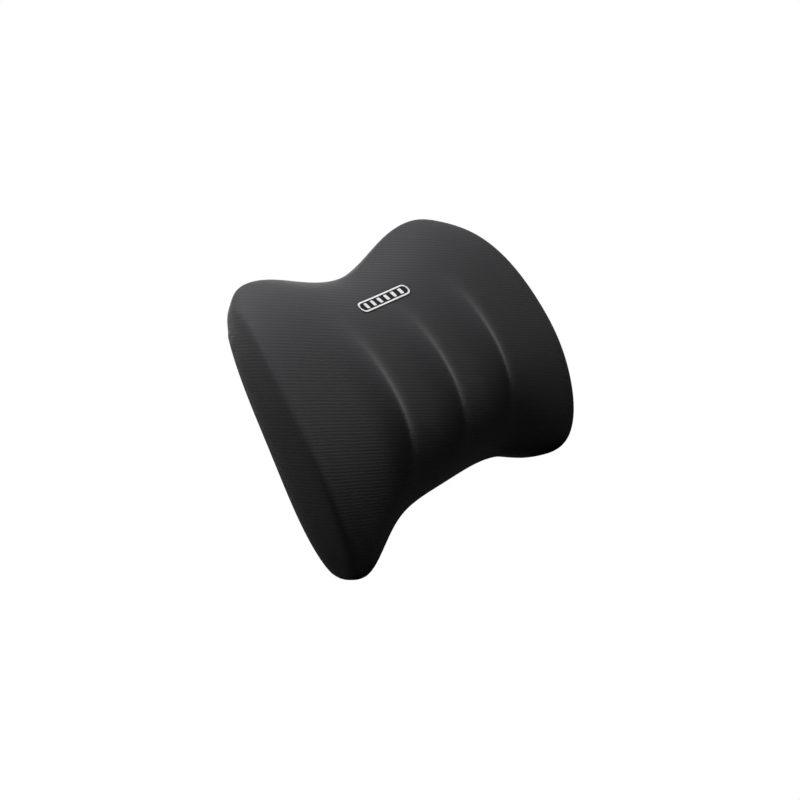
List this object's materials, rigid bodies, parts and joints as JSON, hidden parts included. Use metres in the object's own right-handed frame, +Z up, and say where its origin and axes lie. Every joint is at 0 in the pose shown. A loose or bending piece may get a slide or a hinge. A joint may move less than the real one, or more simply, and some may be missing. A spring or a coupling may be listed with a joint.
{
  "type": "lumbar support cushion",
  "caption": "Butterfly-shaped foam back cushion with upright ribs, a zipped knit cover and a flat strap with a side-release buckle and adjuster behind.",
  "frame": {"origin": "on the ground plane under the middle of the whole object, level with the lowest point of the two wings", "axes": "+Z up as worn on a chair; -Y faces the sitter and +Y faces the chair; X runs across, wing to wing"},
  "size_m": [0.424, 0.1081, 0.3113],
  "materials": {
    "cover_knit": "black ribbed stretch knit, matt with a soft sheen",
    "cover_back_fabric": "black plain woven back panel, matt",
    "liner_jersey": "thin off-white jersey",
    "foam": "cream open-cell memory foam, matt",
    "zip_tape": "black woven zip tape",
    "zip_coil": "black nylon coil, satin",
    "zip_metal": "black enamelled zinc, semi-gloss",
    "strap_webbing": "black woven webbing, matt",
    "buckle_plastic": "black acetal, fine texture",
    "badge_black": "black heat-sealed patch, satin",
    "badge_white": "white print, matt",
    "label_fabric": "white satin ribbon, blank"
  },
  "bodies": {
    "cushion": {"foam_core": "foam", "inner_liner": "liner_jersey", "cover_front": "cover_knit", "cover_back_upper": "cover_back_fabric", "cover_back_lower": "cover_back_fabric", "zip_tape_upper": "zip_tape", "zip_tape_lower": "zip_tape", "zip_coil_upper": "zip_coil", "zip_coil_lower": "zip_coil", "zip_stop_start": "zip_metal", "zip_stop_end": "zip_metal", "anchor_patch_left": "strap_webbing", "anchor_patch_right": "strap_webbing", "strap_left": "strap_webbing", "strap_right": "strap_webbing", "buckle_socket": "buckle_plastic", "badge_patch": "badge_black", "badge_rim": "badge_white", "badge_mark": "badge_white", "care_label": "label_fabric"},
    "zip_slider": {"zip_slider": "zip_metal"},
    "zip_pull": {"zip_pull": "zip_metal"},
    "buckle_plug": {"buckle_plug": "buckle_plastic"},
    "buckle_arm_upper": {"buckle_arm_upper": "buckle_plastic"},
    "buckle_arm_lower": {"buckle_arm_lower": "buckle_plastic"},
    "strap_adjuster": {"strap_adjuster": "buckle_plastic"}
  },
  "joints": [
    {"name": "zip_travel", "type": "slide", "parent": "cushion", "child": "zip_slider", "axis": [-1, 0, 0], "range_m": [0, 0.218]},
    {"name": "zip_pull_swing", "type": "hinge", "parent": "zip_slider", "child": "zip_pull", "pos_m": [0.109, 0.04695, 0.09456], "axis": [0, 0, -1], "range_deg": [0, 170]},
    {"name": "buckle_release", "type": "slide", "parent": "cushion", "child": "buckle_plug", "axis": [1, 0, 0], "range_m": [0, 0.024], "deforming": ["strap_right"]},
    {"name": "arm_press_upper", "type": "hinge", "parent": "buckle_plug", "child": "buckle_arm_upper", "pos_m": [0.03, 0.0494, 0.18006], "axis": [0, -1, 0], "range_deg": [0, 8], "stiffness_Nm_per_rad": 0.05},
    {"name": "arm_press_lower", "type": "hinge", "parent": "buckle_plug", "child": "buckle_arm_lower", "pos_m": [0.03, 0.0494, 0.15906], "axis": [0, 1, 0], "range_deg": [0, 8], "stiffness_Nm_per_rad": 0.05},
    {"name": "strap_adjust", "type": "slide", "parent": "cushion", "child": "strap_adjuster", "axis": [1, 0, 0], "range_m": [-0.01, 0.025]}
  ]
}
